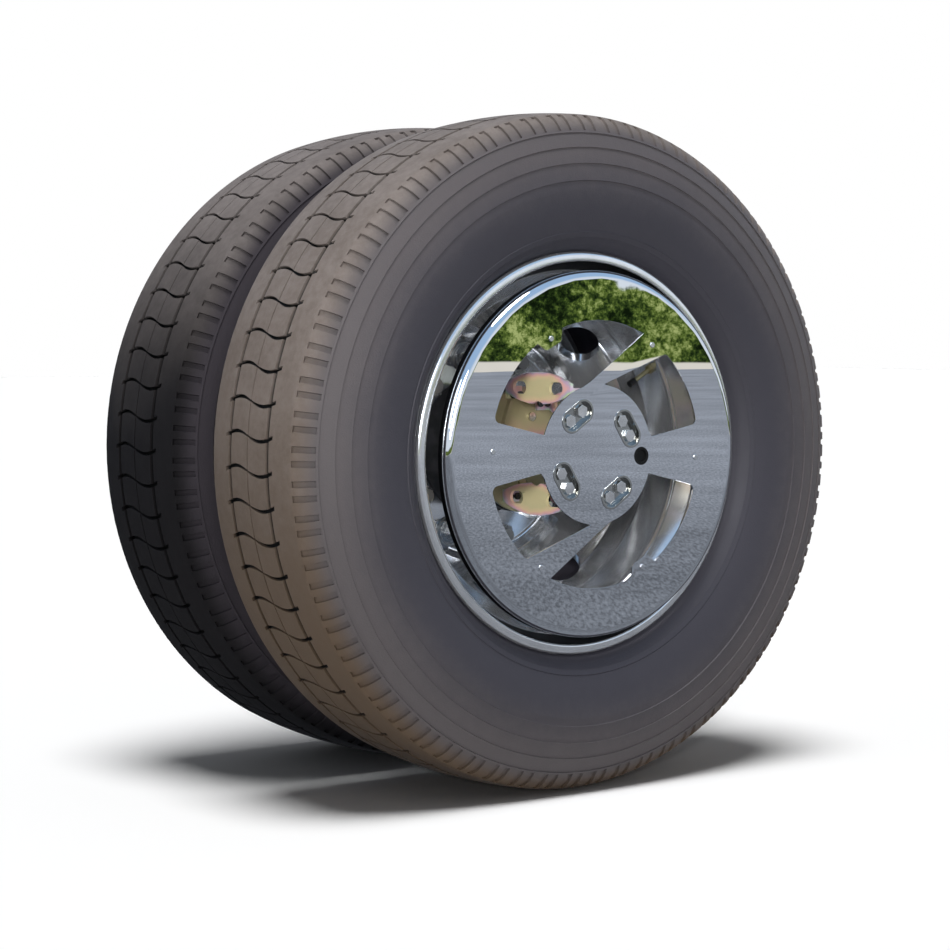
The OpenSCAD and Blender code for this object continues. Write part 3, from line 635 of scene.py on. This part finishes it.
def polished(name, colour, rough, depth):
    """Polished aluminium with fine turning marks that run round the axle."""

    def rings(at):
        r = (at.part(0) ** 2.0 + at.part(2) ** 2.0) ** 0.5
        lathe = r.node("CombineXYZ", {}, {0: r * 900.0, 1: at.part(1) * 900.0, 2: 0.0})
        return lathe.noise(1.0, 2.0) * 0.5 + at.noise(26.0, 2.0) * 0.12

    def shaded_behind_lip(at):
        """1 on the wall of the rim behind its polished lip, which is painted black as shade, else 0."""
        r = (at.part(0) ** 2.0 + at.part(2) ** 2.0) ** 0.5
        from_middle = at.part(1).math("ABSOLUTE", at.part(1))
        return r.rise(*LIP_SHADE_R) * from_middle.rise(*LIP_SHADE_FRONT) * from_middle.rise(*LIP_SHADE_BACK)

    def tone(at):
        bright = at.noise(18.0, 4.0).rise(0.25, 0.8).mixed(tuple(0.86 * c for c in colour), colour)
        return shaded_behind_lip(at).mixed(bright, PAINTED_SHADE_BLACK)

    def gloss(at):
        return at.noise(33.0, 4.0) * 0.07 + rough + shaded_behind_lip(at) * 0.5

    def metal(at):
        return 0.88 + shaded_behind_lip(at) * 0.12

    return principled(name, tone, gloss, metal, bump=(rings, depth))


outer_wheel = build_wheel("outer_wheel_metal")
outer_wheel.data.materials.append(polished("outer_wheel_polish", (0.80, 0.81, 0.83), 0.07, 0.00005))
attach(outer_wheel, "root")
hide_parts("outer_wheel")


# The inner wheel is another of the same, turned round so that the two discs meet. It is polished less
# often and is duller.
inner_wheel = outer_wheel.copy()
inner_wheel.data = outer_wheel.data.copy()
inner_wheel.name = "inner_wheel_metal"
bpy.context.scene.collection.objects.link(inner_wheel)
inner_wheel.data.transform(Matrix.Scale(-1, 4, (0, 1, 0)))
inner_wheel.data.flip_normals()
inner_wheel.data.materials.clear()
inner_wheel.data.materials.append(polished("inner_wheel_polish", (0.62, 0.63, 0.65), 0.20, 0.00010))
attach(inner_wheel, "root")
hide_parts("inner_wheel")


# The cover is one stainless sheet, dished, rolled over at its edge and polished to a mirror, with four
# cut-outs. It keeps its CAD form, and the copy has its sharp edges broken as a press leaves them. The
# skirt behind the roll is painted black, as painted shade in the gap behind the rim's lip.
COVER_FACE = 0.316
COVER_ROLL = 0.012
EDGE_ANGLE = 30


def finished(node_name, width, material, segments=2):
    """A copy of a CAD node that replaces it, with broken edges and its own finish."""
    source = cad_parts[node_name]
    piece = source.copy()
    piece.data = source.data.copy()
    piece.name = node_name + "_piece"
    bpy.context.scene.collection.objects.link(piece)
    piece.parent = None
    for key in list(piece.keys()):
        del piece[key]
    bpy.ops.object.select_all(action="DESELECT")
    bpy.context.view_layer.objects.active = piece
    piece.select_set(True)
    bpy.ops.object.mode_set(mode="EDIT")
    bpy.ops.mesh.select_all(action="SELECT")
    bpy.ops.mesh.remove_doubles(threshold=0.00001)
    bpy.ops.mesh.dissolve_limited(angle_limit=math.radians(0.6))
    bpy.ops.object.mode_set(mode="OBJECT")
    rounded_edges(piece, width, segments, EDGE_ANGLE)
    piece.data.materials.clear()
    piece.data.materials.append(material)
    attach(piece, "root")
    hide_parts(node_name)


def shaded_skirt(at):
    """1 on the skirt behind the rolled edge, which is painted black as shade, else 0."""
    return at.part(1).rise(0.0005 - (COVER_FACE - COVER_ROLL), 0.0015 - (COVER_FACE - COVER_ROLL))


def stainless_tone(at):
    bright = at.noise(7.0, 3.0).rise(0.3, 0.7).mixed((0.66, 0.675, 0.70), (0.70, 0.715, 0.74))
    # The skirt behind the roll is painted black, as painted shade.
    return shaded_skirt(at).mixed(bright, PAINTED_SHADE_BLACK)


def stainless_gloss(at):
    return at.noise(14.0, 3.0) * 0.006 + shaded_skirt(at) * 0.5


def stainless_waves(at):
    return at.noise(9.0, 1.0)


finished("cover_plate", 0.0005, principled(
    "mirror_stainless", stainless_tone, stainless_gloss, 1.0, bump=(stainless_waves, 0.00002)))


# Four cups pressed from thin sheet line the windows in the middle of the cover. Eight chromed bolts in
# them hold the cover, and six small rivets stand round it. All of them are plated or bright steel.
def plated(name, colour, rough):
    """Bright plating or machined steel with faint cloudy wear."""

    def tone(at):
        return at.noise(55.0, 3.0).rise(0.3, 0.75).mixed(tuple(0.8 * c for c in colour), colour)

    def gloss(at):
        return at.noise(90.0, 3.0) * 0.06 + rough

    return principled(name, tone, gloss, 1.0)


finished("window_cups", 0.0004, plated("cup_chrome", (0.50, 0.50, 0.48), 0.06))
finished("cover_bolts", 0.0010, plated("bolt_chrome", (0.92, 0.91, 0.89), 0.05), 3)
finished("cover_rivets", 0.0006, plated("rivet_steel", (0.78, 0.78, 0.80), 0.16), 3)


# The access plug is moulded in black plastic with a fine grain. It is pressed into a hole beside the
# windows of the cover.
def plug_grain(at):
    return at.noise(500.0, 2.0)


finished("access_plug", 0.0005, principled(
    "plug_plastic", (0.004, 0.004, 0.004), 0.60, bump=(plug_grain, 0.00005),
    **{"Specular IOR Level": 0.15}))


# Four leaf-shaped arms of pressed steel carry the cover between the base plate and the front plate.
# Arms and plates are in yellow zinc, whose tints run in bands along their edges.
ARM_LEAF = (0.086, 0.027)
LEAF_MIDDLE = 0.024
PLATE_MIDDLE = (-0.1, 0.06)
PLATE_HALF = (0.12, 0.05)
ZINC_TINTS = (
    (0.42, (0.78, 0.68, 0.38)), (0.66, (0.90, 0.68, 0.42)), (0.80, (0.92, 0.52, 0.50)),
    (0.90, (0.62, 0.46, 0.62)), (0.97, (0.46, 0.66, 0.46)), (1.0, (0.80, 0.76, 0.46)),
)


def zinc(name, middle, half, dark=1.0):
    """Olive gold in the middle of a plate, then pink, violet and green near its edge; dark scales all the
    tints down as painted shade.
    """

    def colour(at):
        x = (at.part(1) - middle[0]) * (1 / half[0])
        z = (at.part(2) - middle[1]) * (1 / half[1])
        reach = (x ** 2.0 + z ** 2.0) ** 0.5 + (at.noise(30.0, 3.0) - 0.5) * 0.5
        stops = [(place, tuple(dark * c for c in tint)) for place, tint in ZINC_TINTS]
        return reach.node("ValToRGB", {"stops": stops}, {0: reach})

    def gloss(at):
        return at.noise(60.0, 3.0) * 0.18 + 0.24

    def skin(at):
        return at.noise(260.0, 2.0)

    return principled(name, colour, gloss, 0.18, bump=(skin, 0.00008))


for arm_name in ("upper_left_arm", "lower_left_arm", "upper_right_arm", "lower_right_arm"):
    low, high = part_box(arm_name)
    leaf_height = low.z + LEAF_MIDDLE if "lower" in arm_name else high.z - LEAF_MIDDLE
    leaf_middle = ((low.y + high.y) / 2, leaf_height)
    finished(arm_name, 0.0008, zinc(arm_name + "_zinc", leaf_middle, ARM_LEAF))
# The base plate and the front plate take darker copies of the zinc, as painted shade.
finished("base_plate", 0.0008, zinc("base_plate_zinc", PLATE_MIDDLE, PLATE_HALF, 0.42))
finished("front_plate", 0.0006, zinc("front_plate_zinc", PLATE_MIDDLE, PLATE_HALF, 0.6))


# Eight zinc bolts hold the base plate to the hub's nose through the hub cap. Sixteen small steel screws
# hold the tabs of the arms; they are painted near black, as painted shade in the holes of the tabs.
finished("base_bolts", 0.0008, plated("base_bolt_zinc", (0.70, 0.66, 0.52), 0.18))
finished("arm_screws", 0.0005, plated("arm_screw_steel", (0.10, 0.10, 0.11), 0.24))


# The hub is a casting in dark paint. The two bearing cups are pressed into it, ten studs stand in its
# flange, and washers and flange nuts on them clamp the wheels. A steel cap closes its nose.
def casting_tone(at):
    return at.noise(40.0, 4.0).rise(0.3, 0.8).mixed((0.035, 0.035, 0.038), (0.085, 0.083, 0.085))


def casting_grain(at):
    return at.noise(150.0, 4.0)


finished("wheel_hub", 0.0012, principled(
    "hub_paint", casting_tone, 0.55, 0.1, bump=(casting_grain, 0.0004)))
for steel_name, steel_colour, steel_rough in (
    ("outer_bearing_cup", (0.66, 0.66, 0.68), 0.16), ("inner_bearing_cup", (0.66, 0.66, 0.68), 0.16),
    ("wheel_studs", (0.45, 0.44, 0.43), 0.36), ("nut_washers", (0.60, 0.60, 0.59), 0.30),
    ("wheel_nuts", (0.62, 0.62, 0.62), 0.24), ("hub_cap", (0.52, 0.50, 0.44), 0.32),
):
    finished(steel_name, 0.0006, plated(steel_name + "_steel", steel_colour, steel_rough))


# The hub seal is brown rubber, pressed in behind the inner bearing. The gasket under the hub cap is
# thin green fibre.
def soft_grain(at):
    return at.noise(300.0, 3.0)


finished("hub_seal", 0.0005, principled(
    "seal_rubber", (0.060, 0.022, 0.016), 0.6, bump=(soft_grain, 0.0001)))
finished("cap_gasket", 0.0002, principled(
    "gasket_fibre", (0.06, 0.085, 0.065), 0.8, bump=(soft_grain, 0.0001)), 1)


# Each wheel has a turned brass valve stem that stands in its rim. A cap moulded in black plastic is
# screwed on the stem's end.
for stem_name in ("outer_valve_stem", "inner_valve_stem"):
    finished(stem_name, 0.0004, plated(stem_name + "_brass", (0.72, 0.60, 0.32), 0.22))
finished("valve_caps", 0.0006, principled(
    "cap_plastic", (0.012, 0.012, 0.012), 0.5, bump=(soft_grain, 0.0001)))
